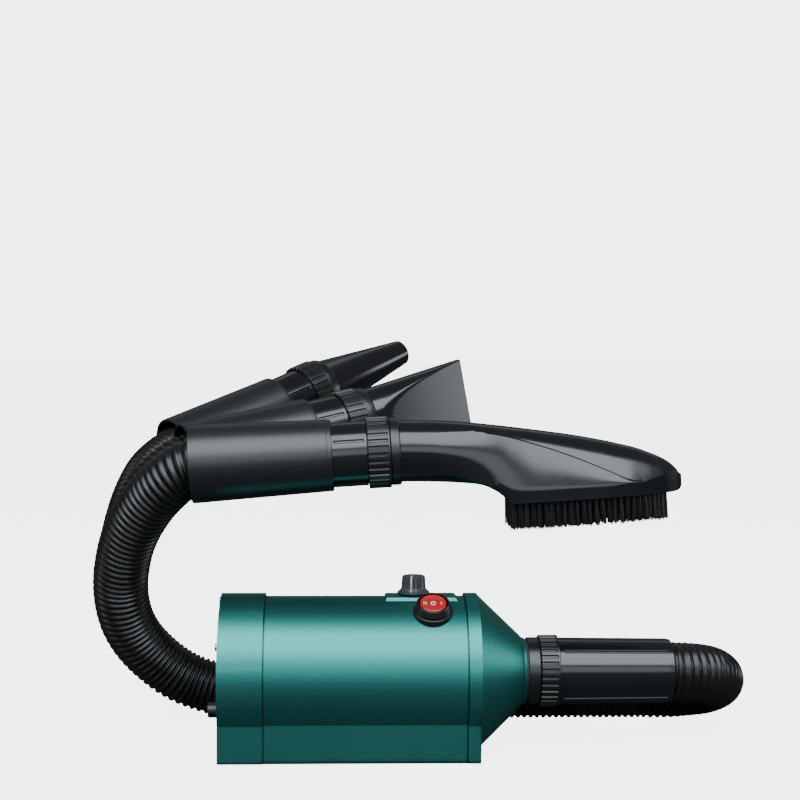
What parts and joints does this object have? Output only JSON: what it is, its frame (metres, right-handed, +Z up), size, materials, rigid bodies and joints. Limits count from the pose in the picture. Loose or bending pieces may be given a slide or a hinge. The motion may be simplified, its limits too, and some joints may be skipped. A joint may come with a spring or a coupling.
{
  "type": "car dryer blower",
  "caption": "Car dryer blower: round motor casing on a flat base, ribbed hose, and handles carrying a brush, a flat and a cone nozzle.",
  "frame": {"origin": "middle of the underside of the foot pad, on the floor", "axes": "+X along the motor shaft towards the outlet, +Y away from the controls side, +Z up"},
  "size_m": [0.5879, 0.3805, 0.3557],
  "materials": {
    "teal_paint": "satin metallic paint",
    "soft_black": "satin soft-touch",
    "gloss_black": "semi-gloss moulded",
    "moulded_black": "fine moulded grain",
    "hose_black": "ribbed, semi-gloss",
    "rubber_black": "smooth rubber",
    "bristle_black": "nylon bristle",
    "knob_grey": "fluted, satin",
    "switch_red": "glossy",
    "foam_grey": "open-cell foam",
    "bare_steel": "turned",
    "cast_aluminium": "cast",
    "copper_winding": "enamelled wire",
    "carbon_black": "pressed carbon",
    "board_green": "circuit board"
  },
  "bodies": {
    "casing": {"foot_pad": "rubber_black", "barrel": "teal_paint", "rear_cap": "teal_paint", "front_cone": "teal_paint", "rear_screws": "bare_steel", "base_screws": "bare_steel", "cable_gland": "moulded_black", "fan_housing": "cast_aluminium", "mount_ring_rear": "rubber_black", "mount_ring_front": "rubber_black", "stage_plate": "cast_aluminium", "motor_can": "cast_aluminium", "end_bell": "cast_aluminium", "stator": "bare_steel", "carbon_brushes": "carbon_black", "bearing_rear": "bare_steel", "bearing_front": "bare_steel", "speed_board": "board_green", "control_pad": "teal_paint", "speed_pot": "bare_steel", "switch_boot": "rubber_black", "switch_body": "moulded_black", "outlet_gasket": "rubber_black", "outlet_neck": "moulded_black", "outlet_sleeve": "gloss_black", "hose": "hose_black", "hose_tail_2": "hose_black", "hose_tail_3": "hose_black", "hose_cuffs": "moulded_black"},
    "filter_cover": {"intake_grille": "moulded_black", "foam_filter": "foam_grey", "filter_retainer": "moulded_black"},
    "rotor": {"rotor_shaft": "bare_steel", "impeller_1": "cast_aluminium", "impeller_2": "cast_aluminium", "armature": "copper_winding", "commutator": "copper_winding"},
    "knob": {"speed_knob": "knob_grey"},
    "switch_rocker": {"rocker": "switch_red"},
    "outlet_lock": {"outlet_collar": "moulded_black"},
    "wand_1": {"handle_1": "soft_black", "sleeve_1": "gloss_black"},
    "lock_1": {"collar_1": "moulded_black"},
    "brush": {"ring_1": "moulded_black", "brush_head": "gloss_black", "brush_base": "moulded_black", "bristles": "bristle_black"},
    "wand_2": {"handle_2": "soft_black", "sleeve_2": "gloss_black"},
    "lock_2": {"collar_2": "moulded_black"},
    "flat": {"ring_2": "moulded_black", "flat_nozzle": "gloss_black"},
    "wand_3": {"handle_3": "soft_black", "sleeve_3": "gloss_black"},
    "lock_3": {"collar_3": "moulded_black"},
    "cone": {"ring_3": "moulded_black", "cone_nozzle": "gloss_black", "cone_tip": "gloss_black"}
  },
  "joints": [
    {"name": "filter_cover_slide", "type": "slide", "parent": "casing", "child": "filter_cover", "axis": [-1, 0, 0], "range_m": [0, 0.045]},
    {"name": "rotor_spin", "type": "hinge", "parent": "casing", "child": "rotor", "pos_m": [0, 0, 0.069], "axis": [1, 0, 0], "continuous": true},
    {"name": "knob_turn", "type": "hinge", "parent": "casing", "child": "knob", "pos_m": [0.053, 0, 0.14], "axis": [0, 0, -1], "range_deg": [0, 270]},
    {"name": "rocker_tilt", "type": "hinge", "parent": "casing", "child": "switch_rocker", "pos_m": [0.068, -0.03575, 0.13092], "axis": [0, 0.866, 0.5], "range_deg": [-8, 8]},
    {"name": "outlet_lock_turn", "type": "hinge", "parent": "casing", "child": "outlet_lock", "pos_m": [0.16, 0, 0.069], "axis": [1, 0, 0], "range_deg": [0, 60]},
    {"name": "wand_1_swivel", "type": "hinge", "parent": "casing", "child": "wand_1", "pos_m": [-0.1395, 0, 0.2485], "axis": [-0.9978, 0, -0.0663], "range_deg": [-20, 180]},
    {"name": "lock_1_turn", "type": "hinge", "parent": "wand_1", "child": "lock_1", "pos_m": [0.02214, 0, 0.25924], "axis": [0.9978, 0, 0.0663], "range_deg": [0, 60]},
    {"name": "brush_pull", "type": "slide", "parent": "wand_1", "child": "brush", "axis": [0.9978, 0, 0.0663], "range_m": [0, 0.045]},
    {"name": "wand_2_swivel", "type": "hinge", "parent": "casing", "child": "wand_2", "pos_m": [-0.15, 0.071, 0.2465], "axis": [-0.9086, -0.3671, -0.1994], "range_deg": [-90, 90]},
    {"name": "lock_2_turn", "type": "hinge", "parent": "wand_2", "child": "lock_2", "pos_m": [-0.00281, 0.13047, 0.2788], "axis": [0.9086, 0.3671, 0.1994], "range_deg": [0, 60]},
    {"name": "flat_pull", "type": "slide", "parent": "wand_2", "child": "flat", "axis": [0.9086, 0.3671, 0.1994], "range_m": [0, 0.045]},
    {"name": "wand_3_swivel", "type": "hinge", "parent": "casing", "child": "wand_3", "pos_m": [-0.1655, 0.144, 0.2485], "axis": [-0.7626, -0.5541, -0.3338], "range_deg": [-90, 90]},
    {"name": "lock_3_turn", "type": "hinge", "parent": "wand_3", "child": "lock_3", "pos_m": [-0.04196, 0.23376, 0.30258], "axis": [0.7626, 0.5541, 0.3338], "range_deg": [0, 60]},
    {"name": "cone_pull", "type": "slide", "parent": "wand_3", "child": "cone", "axis": [0.7626, 0.5541, 0.3338], "range_m": [0, 0.045]}
  ]
}
